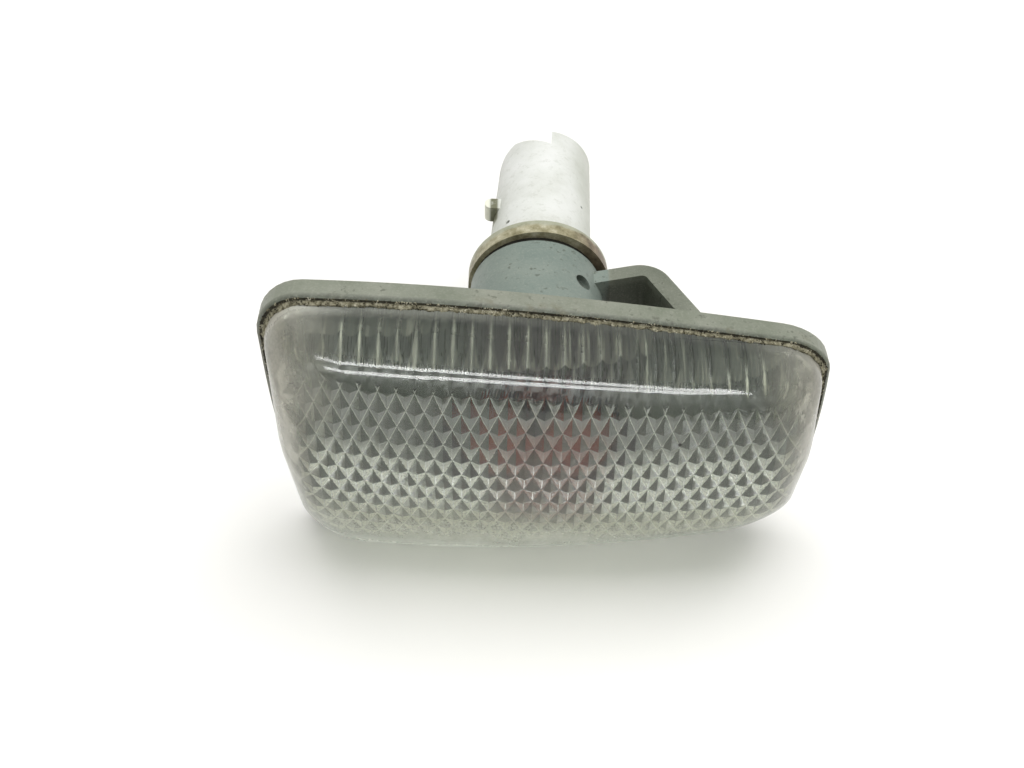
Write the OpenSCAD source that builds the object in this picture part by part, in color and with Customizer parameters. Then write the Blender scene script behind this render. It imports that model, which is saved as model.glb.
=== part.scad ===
// Side repeater lamp for a car: a clear prism lens on a moulded housing,
// with a bayonet bulb holder and a wedge bulb behind it. All sizes in mm.
// +X is right and +Z up, as seen from the lens side. The lens faces -Y.
// The origin is the middle of the flange's back, which rests on the car's panel.

/* [Flange] */
// Length of the flange along X
flange_len = 78; // [70:1:90]
// Height of the flange at mid length
flange_h = 43; // [40:0.5:48]
// Thickness of the flange from seat to rim
flange_t = 3.6; // [3:0.1:5]
// Corner radius of the flange
flange_r = 6.5; // [5:0.5:9]
// Depth by which the long sides curve in towards the ends
side_bow = 1.7; // [0.5:0.1:2.5]
// Depth by which the ends curve in towards the corners
end_bow = 1; // [0.5:0.1:2]
// Slope of the left end against the right one
end_slant = 0.066; // [0:0.002:0.08]
// Z at which the left end keeps its place
slant_z = 11; // [8:0.5:14]
// How much taller the left end is and lower the right end, as a fraction
taper = 0.19; // [0.05:0.01:0.22]
// Small chamfer round the flange's edges
flange_edge = 0.5; // [0.2:0.1:0.8]
// Width of the rim round the lens
rim_w = 1.1; // [0.8:0.1:1.6]
// Thickness of the floor behind the lens
floor_t = 1.8; // [1.4:0.1:2.2]

/* [Lens] */
// Depth of the lens in front of the rim at its middle
lens_depth = 12.9; // [11:0.1:16]
// Wall of the lens
lens_wall = 2.3; // [1.8:0.1:2.6]
// Radius of the soft edge between the lens's front and sides
lens_edge_r = 8.5; // [7:0.5:9.5]
// Corner radius of the lens in front view
lens_r = 6; // [5.5:0.5:7]
// Growth of the lens's corner radius towards the front, per mm of inset
lens_grow = 0.5; // [0.2:0.05:0.5]
// How much smaller the soft edge's radius is at the left end
end_cut = 1.5; // [0.5:0.1:2]
// How far the lens's left end swells out beyond its foot
end_swell = 0.4; // [0:0.1:0.5]
// Slope of the lens's sides in degrees
lens_draft = 1; // [0.5:0.5:2]
// Curve of the front along its length, per mm squared
dome_x = 0.0022; // [0.001:0.0002:0.003]
// Curve of the front along its height, per mm squared
dome_z = 0.0138; // [0.008:0.0002:0.016]
// Gap between the lens's foot and the rim
foot_gap = 0.05; // [0.03:0.01:0.1]

/* [Lens optics] */
// Width of one diamond prism
prism_w = 2.4; // [2:0.1:3.2]
// Height of one diamond prism
prism_h = 4.9; // [4:0.1:6]
// Depth of each prism's pit between the ridges
prism_sink = 1; // [0.4:0.1:1.2]
// X of one crossing of the prism ridges
prism_x = -5.4; // [-6:0.1:6]
// Z of the same crossing
prism_z = 3.2; // [-3.2:0.1:3.2]
// How far the prisms stop short of the lens's inner wall
prism_stop = 2; // [1.5:0.1:3]
// Depth of the flutes down the lens's inner wall
flute_d = 0.35; // [0.2:0.05:0.5]

/* [Tube] */
// X of the tube's axis
tube_x = -0.9; // [-2:0.1:2]
// Length of the tube behind the flange
tube_len = 25; // [22:0.5:30]
// Outer radius of the tube at the flange
tube_r0 = 11.2; // [11:0.1:12]
// Outer radius of the tube at its end
tube_r1 = 10.4; // [10.2:0.1:10.9]
// Small slope round the tube's foot
tube_foot = 0.8; // [0.4:0.1:1.2]
// Radius of the bore
bore_r = 8.9; // [8.7:0.1:9.2]
// Radius of the hole in the lip that the holder passes through
lip_r = 7.7; // [7.5:0.1:7.9]
// Thickness of the lip
lip_t = 1.75; // [1.4:0.05:2.2]
// Diameter of the small blind hole on the tube
dimple_d = 2.8; // [1.5:0.1:3]
// Depth of the small blind hole
dimple_depth = 1; // [0.6:0.1:1.1]
// Distance of the small blind hole from the seat
dimple_y = 18; // [12:0.5:19]
// Angle of the small blind hole above +X, in degrees
dimple_a = 50; // [45:1:70]

/* [Spring clip] */
// X of the clip's foot on the flange
clip_x = 30.4; // [29:0.1:32]
// Distance from the tube's end to the inside of the clip's band at the bore
clip_back = 4.6; // [4.2:0.1:6]
// Rise of the upper band, in degrees
clip_rise = 15; // [10:1:18]
// Slope of the clip's leg, in degrees
clip_lean = 63.4; // [60:0.2:66]
// Thickness of the upper band
clip_t = 2.6; // [2:0.1:3]
// Thickness of the leg
leg_t = 3.1; // [2.4:0.1:3.4]
// Height of the upright root of the leg
root_h = 2.2; // [2.1:0.1:3]
// Width of the clip along Z
clip_w = 12; // [8:0.5:14]
// Outer corner radius of the clip
clip_r = 4.5; // [3:0.5:5.5]
// Inner corner radius of the clip
clip_ri = 0.8; // [0.4:0.1:1.5]

/* [Hook] */
// X of the hook's tip
hook_x = -35.6; // [-36:0.1:-34]
// Width of the hook along Z
hook_w = 10; // [6:0.5:14]
// Gap between the seat and the hook's nose, for the panel
hook_gap = 2.2; // [1.8:0.1:3]
// Thickness of the hook's nose and post
hook_t = 2.4; // [2:0.1:3]
// Reach of the nose past its post
hook_reach = 2.2; // [1.5:0.1:3]

/* [Bulb holder] */
// Clearance of the holder in the lip
holder_gap = 0.3; // [0.2:0.05:0.4]
// Distance from the seat to the holder's front end
holder_y = 10.5; // [9:0.5:12]
// Thickness of the holder's lugs
lug_t = 1.7; // [1.3:0.1:2]
// Angle that each lug covers, in degrees
lug_a = 40; // [30:1:44]
// Angle to turn between locked and free, in degrees
turn_a = 60; // [58:1:62]
// Clearance between lug and bore, and between lug and notch
lug_gap = 0.35; // [0.25:0.05:0.5]
// Thickness of the sealing ring
seal_t = 1; // [0.8:0.1:1.4]
// Gap between the sealing ring and the tube
seal_gap = 0.05; // [0.03:0.01:0.1]
// Outer radius of the sealing ring
seal_r = 10.1; // [9.6:0.1:10.3]
// Radius of the collar
collar_r = 11.2; // [10.8:0.1:12]
// Thickness of the collar
collar_t = 2.9; // [2.4:0.1:3.4]
// Sideways offset of the collar and connector
collar_shift = 0.4; // [0:0.1:0.5]

/* [Connector] */
// Outer radius of the connector at the collar
plug_r0 = 8.5; // [8:0.1:9]
// Outer radius of the connector at its end
plug_r1 = 7.9; // [7.6:0.1:8.4]
// Length of the connector's long side
plug_len = 29.8; // [26:0.2:34]
// How much shorter the left side is at the step
plug_step = 3.8; // [2:0.1:4.4]
// How much shorter the left side is at its highest point
plug_step_top = 1.4; // [0.6:0.1:1.8]
// Distance of the step from the connector's axis
plug_step_x = 0.9; // [0.5:0.1:2]
// Lean of the connector, in degrees
plug_lean = 3.2; // [0:0.1:4]
// Inner radius of the connector
socket_r = 6.3; // [6:0.1:6.6]
// Depth of the connector's socket
socket_depth = 26; // [20:0.5:27]
// Distance of the locking lug from the collar
catch_y = 11.6; // [9:0.2:14]
// Length of the locking lug
catch_len = 2.6; // [2.4:0.2:5]
// How far the locking lug stands out
catch_out = 1.7; // [1.4:0.1:2.6]
// Width of the locking lug along Z
catch_w = 2.8; // [2.4:0.2:4]
// Z of the locking lug's middle
catch_z = 3; // [1:0.2:3.4]

/* [Bulb] */
// Diameter of the bulb
bulb_d = 10.3; // [9.6:0.1:10.4]
// Length of the bulb from base to tip
bulb_len = 26.8; // [25:0.1:27.4]
// Thickness of the bulb's glass
glass_t = 0.6; // [0.5:0.05:0.8]
// Width of the bulb's wedge base
base_w = 9.4; // [9:0.1:9.8]
// Thickness of the wedge base
base_t = 2.5; // [2.3:0.1:2.7]
// Length of the wedge base
base_len = 7.6; // [7:0.1:8]
// Clearance between the wedge base and the floor of its pocket
base_gap = 0.3; // [0.2:0.05:0.4]
// Diameter of the lead wires
wire_d = 0.5; // [0.4:0.05:0.6]
// Distance between the lead wires
wire_pitch = 3.6; // [3.2:0.1:4]
// Length from the bulb's tip to the filament
filament_y = 11.5; // [10:0.1:13]
// Diameter of the filament's coil
filament_d = 0.6; // [0.4:0.1:0.8]

/* [Terminals] */
// Width of each terminal
blade_w = 2.8; // [2.4:0.1:3]
// Thickness of each terminal
blade_t = 0.8; // [0.6:0.1:0.9]
// Distance between the middles of the two terminals
blade_pitch = 5.4; // [5.2:0.1:5.8]
// Length of the terminals inside the connector
blade_len = 13; // [8:0.5:14]
// Clearance of the terminals in their slots
blade_gap = 0.05; // [0.03:0.01:0.1]

/* [Hidden] */

half_l = flange_len / 2;
half_h = flange_h / 2;

// ---- Outline of the flange and the lens ----
// The sides are bowed and the left end is taller than the right one.
function bow_x(z) = 1 - end_bow / half_l * pow(z / half_h, 2);
function bow_z(x) = (1 - side_bow / half_h * pow(x / half_l, 2)) * (1 - taper * x / half_l);
function slant(z) = end_slant * (z - slant_z);
// Bends a point of the plain outline; s moves the left end outwards.
function bend(p, s = 0) = [p[0] * bow_x(p[1]) - (slant(p[1]) + s) * (1 - p[0] / half_l) / 2, p[1] * bow_z(p[0])];
// X of the plain point that bends to x.
function flat_x(x, z, s) = let (k = slant(z) + s) (x + k / 2) / (bow_x(z) + k / flange_len);
function rev(v) = [for (i = [len(v) - 1:-1:0]) v[i]];
function arc_pts(cx, cz, r, a, n, s) = [for (k = [0:n]) bend([cx + r * cos(a + 90 * k / n), cz + r * sin(a + 90 * k / n)], s)];
// A closed loop, counter-clockwise from the front, with points at the given columns and rows.
function loop(a, b, r, cols, left, right, n, s = 0) = concat(
    [for (x = rev(cols)) bend([flat_x(x, b, s), b], s)],
    arc_pts(-(a - r), b - r, r, 90, n, s),
    [for (z = rev(left)) bend([-a, z / bow_z(-a)], s)],
    arc_pts(-(a - r), -(b - r), r, 180, n, s),
    [for (x = cols) bend([flat_x(x, -b, s), -b], s)],
    arc_pts(a - r, -(b - r), r, 270, n, s),
    [for (z = right) bend([a, z / bow_z(a)], s)],
    arc_pts(a - r, b - r, r, 0, n, s));
function lift(pts, y) = [for (p = pts) [p[0], y, p[1]]];
function steps(lim, d) = [for (i = [-floor(lim / d):floor(lim / d)]) i * d];

// ---- Meshing ----
// Two triangles for each step between rings of equal size that start at s and t.
function ring_faces(s, t, n) = [for (i = [0:n - 1], k = [0, 1])
    let (j = (i + 1) % n) k == 0 ? [s + i, t + j, s + j] : [s + i, t + i, t + j]];
function flip(f) = [for (t = f) [t[0], t[2], t[1]]];
// Triangles between two rows of points, stepping along both by their place p and q.
function zip_on(s, p, q, tie) = s[1] == len(q) - 1 ? true : s[0] == len(p) - 1 ? false :
    abs(p[s[0] + 1] - q[s[1] + 1]) < 0.001 ? tie[s[0]] : p[s[0] + 1] < q[s[1] + 1];
function zip_faces(a, b, p, q, tie) = [for (s = [0, 0]; s[0] < len(p) - 1 || s[1] < len(q) - 1;
    s = zip_on(s, p, q, tie) ? [s[0] + 1, s[1]] : [s[0], s[1] + 1])
    zip_on(s, p, q, tie) ? [a[s[0]], a[s[0] + 1], b[s[1]]] : [a[s[0]], b[s[1] + 1], b[s[1]]]];
function turn_of(pts) = let (a = [for (p = pts) atan2(p[2], p[0])])
    concat([for (t = a) a[0] + (t - a[0] + 720) % 360], [a[0] + 360]);

// ---- Flange ----
flange_cols = steps(half_l - flange_r - 3, 4);
flange_rows = steps(half_h * 0.5, 4);
function flange_loop(d) = loop(half_l - d, half_h - d, flange_r - d * 0.8, flange_cols, flange_rows, flange_rows, 8);
flange_rings = [[0, flange_edge], [-flange_edge, 0], [-flange_t + flange_edge, 0], [-flange_t, flange_edge]];
flange_n = len(flange_loop(0));

// ---- Lens ----
foot_in = rim_w + foot_gap;
foot_y = -floor_t;
front_y = -(flange_t + lens_depth);
draft_k = tan(lens_draft);
wall_run = lens_depth + flange_t - floor_t - lens_edge_r;
half_prism = prism_w / 2;
half_row = prism_h / 2;
// Surface of the front: a shallow dome.
function dome(p) = dome_x * p[0] * p[0] + dome_z * p[1] * p[1] - 0.00002 * pow(p[1], 4);
// Half length and height of the lens's outer side at its foot.
lens_a = half_l - foot_in;
lens_b = half_h - foot_in;
edge_in = wall_run * draft_k;
inner_r = lens_edge_r - lens_wall;
in_a = lens_a - lens_wall;
in_b = lens_b - lens_wall;
in_corner = lens_r - lens_wall;

// Outer skin: rings from the foot over the soft edge to the front.
function swell(a) = end_swell + end_cut * (1 - cos(a));
function out_r(d) = min(lens_r + d * lens_grow, lens_b - d - 0.5);
out_d = edge_in + lens_edge_r;
out_cols = steps(lens_a - out_d - out_r(out_d) - 3, prism_w * 1.25);
out_rows = steps((lens_b - out_d - out_r(out_d)) * 0.9, prism_w);
function out_loop(d, s = 0) = loop(lens_a - d, lens_b - d, out_r(d), out_cols, out_rows, out_rows, 8, s);
out_arc = [0, 12, 24, 36, 48, 60, 75, 90];
function out_ring(a) = let (l = out_loop(edge_in + lens_edge_r * (1 - cos(a)), swell(a)))
    [for (p = l) [p[0], front_y + dome(p) + lens_edge_r * (1 - sin(a)), p[1]]];
// The wall stands straight until it is clear of the rim.
rim_k = (flange_t + 0.3 - floor_t) / wall_run;
out_pts = concat(lift(out_loop(0), foot_y), lift(out_loop(edge_in * rim_k), foot_y - wall_run * rim_k),
    [for (a = out_arc, p = out_ring(a)) p]);
out_n = len(out_loop(0));
out_last = out_n * (len(out_arc) + 1);
// Front columns between the top and bottom of the last ring.
out_side = (out_n - 2 * len(out_cols)) / 2;
out_front = [for (c = [0:len(out_cols) - 1])
    let (top = out_pts[out_last + len(out_cols) - 1 - c], low = out_pts[out_last + len(out_cols) + out_side + c])
    [for (k = [1:4]) let (p = [top[0], low[2] + (top[2] - low[2]) * k / 5]) [p[0], front_y + dome(p), p[1]]]];

// Inner skin: the prism field, then rings round the edge and down the fluted wall.
fld_a = in_a - edge_in - prism_stop;
fld_b = in_b - edge_in - prism_stop;
fld_r = 1.5;
fld_s = end_swell + end_cut * prism_stop / inner_r;
function fld_end(x, z) = bend([x * (fld_a - fld_r), z * fld_b], fld_s)[0];
fld_i0 = ceil((max(fld_end(-1, 1), fld_end(-1, -1)) + 0.3 - prism_x) / half_prism);
fld_i1 = floor((min(fld_end(1, 1), fld_end(1, -1)) - 0.3 - prism_x) / half_prism);
fld_cols = [for (i = [fld_i0:fld_i1]) prism_x + i * half_prism];
fld_left = steps((fld_b - fld_r) * bow_z(-fld_a) - 0.4, half_prism);
fld_right = steps((fld_b - fld_r) * bow_z(fld_a) - 0.4, half_prism);
function in_loop(d, r, s) = loop(in_a - d, in_b - d, r, fld_cols, fld_left, fld_right, 4, s);
// Rise of the inner skin over its soft edge, which is tighter at the left end.
function end_near(p, z) = p[0] < 0
    ? (inner_r - end_cut - p[0] + bend([-(in_a - edge_in), z], end_swell)[0]) * inner_r / (inner_r - end_cut)
    : inner_r + p[0] - bend([in_a - edge_in, z], end_swell)[0];
function edge_rise(p) = let (z = p[1] / bow_z(p[0]),
    q = min(inner_r * 0.995, norm([max(end_near(p, z), 0), max(abs(z) - (in_b - edge_in - inner_r), 0)])))
    inner_r - sqrt(inner_r * inner_r - q * q);
function skin_y(p) = front_y + lens_wall + dome(p) + edge_rise(p);
fld_loop = in_loop(edge_in + prism_stop, fld_r, fld_s);
fld_n = len(fld_loop);
fld_nc = len(fld_cols);
fld_nl = len(fld_left) + 10;
fld_nr = len(fld_right) + 10;
fld_rim = [for (p = fld_loop) [p[0], skin_y(p), p[1]]];
// Rows of prism corners and points inside each column.
fld_rows = [for (c = [0:fld_nc - 1]) let (lo = fld_loop[fld_nc + fld_nl + c][1], hi = fld_loop[fld_nc - 1 - c][1])
    [ceil((lo + 0.4 * half_row - prism_z) / half_row), floor((hi - 0.4 * half_row - prism_z) / half_row)]];
function is_pit(i, j) = abs(i + j) % 2 == 1;
fld_in = [for (c = [0:fld_nc - 1]) [for (j = [fld_rows[c][0]:fld_rows[c][1]])
    let (p = [fld_cols[c], prism_z + j * half_row])
    [p[0], skin_y(p) - (is_pit(fld_i0 + c, j) ? prism_sink : 0), p[1]]]];
// Rings from the prism field's edge to the foot.
in_a0 = acos((inner_r - prism_stop) / inner_r);
in_arc = [in_a0 * 0.75, in_a0 * 0.5, in_a0 * 0.25, 0];
function in_ring(a) = let (d = inner_r * (1 - cos(a)), l = in_loop(edge_in + d, max(in_corner - d * 0.6, fld_r), swell(a)))
    [for (p = l) [p[0], front_y + lens_wall + dome(p) + inner_r * (1 - sin(a)), p[1]]];
// Flutes: every second point of a side stands inwards.
function flute(i) = i < fld_nc ? [0, -(i % 2)] :
    i < fld_nc + 5 || i >= fld_n - 5 ? [0, 0] :
    i < fld_nc + fld_nl - 5 ? [(i - fld_nc) % 2, 0] :
    i < fld_nc + fld_nl ? [0, 0] :
    i < 2 * fld_nc + fld_nl ? [0, (i - fld_nl) % 2] :
    i < 2 * fld_nc + fld_nl + 5 ? [0, 0] : [-(i % 2), 0];
function wall_ring(k) = let (l = in_loop(edge_in * k, in_corner, end_swell * k), top = in_ring(0))
    [for (i = [0:fld_n - 1]) let (f = flute(i) * flute_d) [l[i][0] + f[0], foot_y + (top[i][1] - foot_y) * k, l[i][1] + f[1]]];
in_rings = concat([for (a = in_arc) in_ring(a)], [wall_ring(0.85), wall_ring(0)]);
in_pts = concat(fld_rim, [for (r = in_rings, p = r) p]);

// Index of each block of points.
at_front = len(out_pts);
at_in = at_front + 4 * len(out_cols);
at_fld = at_in + len(in_pts);
fld_at = [for (c = 0, s = at_fld; c < fld_nc; s = s + len(fld_in[c]), c = c + 1) s];
lens_pts = concat(out_pts, [for (c = out_front, p = c) p], in_pts, [for (c = fld_in, p = c) p]);

// Rows of point numbers across the outer front, from left to right.
function out_row(c) = concat([out_last + len(out_cols) + out_side + c],
    [for (k = [0:3]) at_front + 4 * c + k], [out_last + len(out_cols) - 1 - c]);
out_left = [for (i = [len(out_cols) + out_side - 1:-1:len(out_cols)]) out_last + i];
out_right = [for (i = [2 * len(out_cols) + out_side:out_n - 1]) out_last + i];
out_strips = concat([out_left], [for (c = [0:len(out_cols) - 1]) out_row(c)], [out_right]);
// The same across the prism field.
function fld_row(c) = concat([at_in + fld_nc + fld_nl + c],
    [for (k = [0:len(fld_in[c]) - 1]) fld_at[c] + k], [at_in + fld_nc - 1 - c]);
fld_leftrow = [for (i = [fld_nc + fld_nl - 1:-1:fld_nc]) at_in + i];
fld_rightrow = [for (i = [2 * fld_nc + fld_nl:fld_n - 1]) at_in + i];
fld_strips = concat([fld_leftrow], [for (c = [0:fld_nc - 1]) fld_row(c)], [fld_rightrow]);
// Ridges run from corner to corner, so the shared edge depends on the place in the grid.
function fld_tie(c) = [for (k = [0:len(fld_strips[c]) - 1])
    let (j = round((lens_pts[fld_strips[c][k]][2] - prism_z) / half_row)) is_pit(fld_i0 + c - 1, j)];
function places(s) = [for (i = s) lens_pts[i][2]];
function none(s) = [for (i = s) true];
out_foot = [for (i = [0:out_n]) i % out_n];
in_foot = [for (i = [0:fld_n]) at_in + fld_n * len(in_rings) + i % fld_n];
lens_faces = concat(
    [for (k = [0:len(out_arc)], f = ring_faces(out_n * k, out_n * (k + 1), out_n)) f],
    [for (c = [0:len(out_strips) - 2], f = zip_faces(out_strips[c], out_strips[c + 1],
        places(out_strips[c]), places(out_strips[c + 1]), none(out_strips[c]))) f],
    flip([for (c = [0:len(fld_strips) - 2], f = zip_faces(fld_strips[c], fld_strips[c + 1],
        places(fld_strips[c]), places(fld_strips[c + 1]), fld_tie(c))) f]),
    [for (k = [0:len(in_rings) - 1], f = ring_faces(at_in + fld_n * k, at_in + fld_n * (k + 1), fld_n)) f],
    flip(zip_faces(in_foot, out_foot, turn_of([for (i = [0:fld_n - 1]) lens_pts[in_foot[i]]]),
        turn_of([for (i = [0:out_n - 1]) lens_pts[out_foot[i]]]), none(in_foot))));

// ---- Clip ----
function unit(v) = v / norm(v);
function wrap(a) = a > 180 ? a - 360 : a < -180 ? a + 360 : a;
// Points of an arc of radius r that rounds the corner b between a and c.
function corner(a, b, c, r, n) = let (u = unit(a - b), v = unit(c - b), h = acos(u * v) / 2,
    m = b + unit(u + v) * r / sin(h), p = b + u * r / tan(h) - m, q = b + v * r / tan(h) - m,
    s = atan2(p[1], p[0]), d = wrap(atan2(q[1], q[0]) - s))
    [for (k = [0:n]) m + r * [cos(s + d * k / n), sin(s + d * k / n)]];
clip_in0 = [tube_x + bore_r, tube_len - clip_back];
clip_out0 = clip_in0 + [0, clip_t / cos(clip_rise)];
clip_foot = [clip_x, 0];
clip_foot_in = [clip_x - leg_t / sin(clip_lean), 0];
// The leg's inner side is upright at its root.
clip_step = clip_foot_in + [-root_h / tan(clip_lean), root_h];
// Meeting point of the band's line and the leg's line.
function meet(p, f) = let (x = (f[0] * tan(clip_lean) - p[1] + p[0] * tan(clip_rise)) / (tan(clip_lean) + tan(clip_rise)))
    [x, p[1] + (x - p[0]) * tan(clip_rise)];
clip_out1 = meet(clip_out0, clip_foot);
clip_in1 = meet(clip_in0, clip_foot_in);
clip_root = -floor_t / 2;
function down(f) = [f[0] - clip_root / tan(clip_lean), clip_root];
function back_in(p) = [tube_x, p[1] - (p[0] - tube_x) * tan(clip_rise)];
clip_pts = concat([back_in(clip_out0)], corner(clip_out0, clip_out1, clip_foot, clip_r, 10), [down(clip_foot), [clip_step[0], clip_root], clip_step],
    corner(clip_foot_in, clip_in1, clip_in0, clip_ri, 4), [back_in(clip_in0)]);

// ---- Hook ----
hook_root = hook_x + hook_reach;
hook_pts = [[hook_root, clip_root], [hook_root, hook_gap], [hook_x, hook_gap], [hook_x, hook_gap + hook_t / 2],
            [hook_x + hook_t / 2, hook_gap + hook_t], [hook_root + hook_t, hook_gap + hook_t], [hook_root + hook_t, clip_root]];

// ---- Holder ----
barrel_r = lip_r - holder_gap;
lug_r = bore_r - lug_gap;
lip_y = tube_len - lip_t;
lug_y = lip_y - holder_gap - lug_t;
seal_y = tube_len + seal_gap;
collar_y = seal_y + seal_t;
plug_y = collar_y + collar_t;
plug_x = tube_x + collar_shift;
// Bulb, set in the holder's pocket.
neck_gap = 0.15;
bulb_back = holder_y + base_len - neck_gap;
pocket_y = bulb_back + base_gap;
bulb_tip = bulb_back - bulb_len;
bulb_r = bulb_d / 2;
neck_y = bulb_back - base_len;
wire_z = base_t / 2 + wire_d / 2 + 0.02;
contact_z = wire_z + wire_d / 2 + blade_gap;
blade_x = blade_pitch / 2;
socket_floor = plug_y + plug_len - socket_depth;
bend_y = pocket_y + 4;

module wedge(a0, a1, r, y0, y1) {
    // A sector about the tube's axis, for lugs, notches and stops.
    translate([tube_x, y1, 0])
        rotate([90, 0, 0])
            linear_extrude(y1 - y0)
                polygon(concat([[0, 0]], [for (k = [0:6]) let (a = a0 + (a1 - a0) * k / 6) [r * cos(a), r * sin(a)]]));
}

module disc(r, y0, y1, x = tube_x, r2 = -1) {
    // A cylinder or cone along +Y.
    translate([x, y0, 0])
        rotate([-90, 0, 0])
            cylinder(r1 = r, r2 = r2 < 0 ? r : r2, h = y1 - y0, $fn = 96);
}

module flange_blank() {
    polyhedron(points = [for (g = flange_rings, p = lift(flange_loop(g[1]), g[0])) p],
        faces = concat([for (k = [0:2], f = ring_faces(flange_n * k, flange_n * (k + 1), flange_n)) f],
            [[for (i = [0:flange_n - 1]) i]],
            [[for (i = [flange_n - 1:-1:0]) 3 * flange_n + i]]), convexity = 4);
}

module housing() {
    color([0.60, 0.65, 0.60]) {
        body();
        stops();
    }
}

module body() {
    // Flange, tube, clip and hook, with the seat for the lens and the bore cut in.
    difference() {
        union() {
            flange_blank();
            disc(tube_r0, -floor_t / 2, tube_len, tube_x, tube_r1);
            disc(tube_r0 + tube_foot, 0, tube_foot, tube_x, tube_r0);
            translate([0, 0, -clip_w / 2])
                linear_extrude(clip_w)
                    polygon(clip_pts);
            translate([0, 0, -hook_w / 2])
                linear_extrude(hook_w)
                    polygon(hook_pts);
        }
        // Seat for the lens.
        translate([0, -floor_t, 0])
            rotate([90, 0, 0])
                linear_extrude(flange_t)
                    polygon(flange_loop(rim_w));
        // Bore, with a lip that the holder's lugs pass through.
        disc(bore_r, -flange_t, lip_y);
        disc(lip_r, lip_y - 1, tube_len + 1);
        for (k = [0:2])
            intersection() {
                disc(bore_r, lip_y - 0.5, tube_len + 1);
                wedge(90 - turn_a + 120 * k - lug_a / 2 - 2, 90 - turn_a + 120 * k + lug_a / 2 + 2, bore_r + 4, lip_y - 0.5, tube_len + 1);
            }
        // Small blind hole.
        translate([tube_x, dimple_y, 0])
            rotate([0, 90 - dimple_a, 0])
                translate([0, 0, tube_r1 + (tube_r0 - tube_r1) * (1 - dimple_y / tube_len) - dimple_depth])
                    cylinder(d = dimple_d, h = 5, $fn = 32);
    }
}

module stops() {
    // Ribs in the bore that stop the lugs at both ends of the turn.
    for (k = [0:2])
        intersection() {
            difference() {
                disc(bore_r + 0.3, lug_y, lip_y + 0.3);
                disc(barrel_r + holder_gap + 0.2, lug_y - 1, lip_y + 1);
            }
            wedge(120 * k - 30 + lug_a / 2 + 2.5, 120 * k + 90 - turn_a - lug_a / 2 - 2.5, bore_r + 4, lug_y, lip_y + 0.3);
        }
}

module lens() {
    color([0.80, 0.84, 0.84, 0.6])
        polyhedron(points = lens_pts, faces = lens_faces, convexity = 6);
}

module blade(side, g) {
    // A terminal: a contact beside the bulb's base, a step, and a blade in the connector.
    x = tube_x + side * blade_x - blade_w / 2 - g;
    z = side < 0 ? contact_z : -contact_z - blade_t;
    translate([x, holder_y + 2 - g, z - g])
        cube([blade_w + 2 * g, bend_y - holder_y - 2 + 2 * g, blade_t + 2 * g]);
    translate([x, bend_y - blade_t - g, min(z, -blade_t / 2) - g])
        cube([blade_w + 2 * g, blade_t + 2 * g, contact_z + blade_t * 1.5 + 2 * g]);
    translate([x, bend_y - blade_t - g, -blade_t / 2 - g])
        cube([blade_w + 2 * g, socket_floor + blade_len - bend_y + blade_t + 2 * g, blade_t + 2 * g]);
}

module plug_frame() {
    translate([plug_x, plug_y, 0])
        rotate([0, 0, -plug_lean])
            children();
}

module bulb_holder() {
    color([0.86, 0.86, 0.80]) difference() {
        union() {
            disc(barrel_r, holder_y, collar_y + 0.5);
            for (k = [0:2])
                intersection() {
                    disc(lug_r, lug_y, lug_y + lug_t);
                    wedge(90 + 120 * k - lug_a / 2, 90 + 120 * k + lug_a / 2, bore_r + 4, lug_y, lug_y + lug_t);
                }
            disc(collar_r, collar_y, plug_y, plug_x);
            plug_frame()
                rotate([-90, 0, 0])
                    translate([0, 0, -1])
                        cylinder(r1 = plug_r0, r2 = plug_r1, h = plug_len + 1, $fn = 96);
            // Locking lug.
            plug_frame()
                translate([-plug_r1 - catch_out, catch_y, catch_z - catch_w / 2])
                    linear_extrude(catch_w)
                        polygon(concat([[catch_out + 3, 0]],
                            corner([catch_out + 3, 0], [0, 0], [0, catch_len], catch_out * 0.7, 5),
                            corner([0, 0], [0, catch_len], [catch_out + 3, catch_len], catch_out * 0.7, 5),
                            [[catch_out + 3, catch_len]]));
        }
        // Socket of the connector.
        plug_frame()
            translate([0, plug_len - socket_depth, 0])
                rotate([-90, 0, 0])
                    cylinder(r = socket_r, h = socket_depth + 5, $fn = 96);
        // Shorter left side.
        plug_frame()
            translate([0, plug_len, -plug_r0 * 2])
                linear_extrude(plug_r0 * 4)
                    polygon([[plug_step_x, 5], [-plug_r0 * 2, 5], [-plug_r0 * 2, -plug_step], [-plug_r1 - 0.4, -plug_step],
                        [-plug_r1 + 0.8, -plug_step_top - 0.8], [-plug_r1 + 2.4, -plug_step_top], [plug_step_x, -plug_step]]);
        // Pocket for the bulb's wedge base.
        translate([tube_x - base_w / 2 - 0.2, holder_y - 1, -contact_z - blade_t - 0.1])
            cube([base_w + 0.4, pocket_y - holder_y + 1, 2 * (contact_z + blade_t + 0.1)]);
        // Slots for the terminals.
        blade(-1, blade_gap);
        blade(1, blade_gap);
    }
}

module holder_seal() {
    color([0.10, 0.10, 0.09]) difference() {
        disc(seal_r, seal_y, collar_y);
        disc(barrel_r + 0.05, seal_y - 1, collar_y + 1);
    }
}

module terminal_left() {
    color([0.78, 0.76, 0.70]) blade(-1, 0);
}

module terminal_right() {
    color([0.78, 0.76, 0.70]) blade(1, 0);
}

// Half outline of the bulb, from its tip to its neck.
function bulb_half(d) = let (r = bulb_r - d, y0 = bulb_r, y1 = bulb_len - base_len - 3)
    concat([for (k = [0:9]) [r * sin(10 * k), y0 - r * cos(10 * k)]], [[r, y1], [r * 0.9, y1 + 1.6 - d], [r * 0.62, y1 + 3 - 2 * d], [0, y1 + 3 - 2 * d]]);

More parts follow.
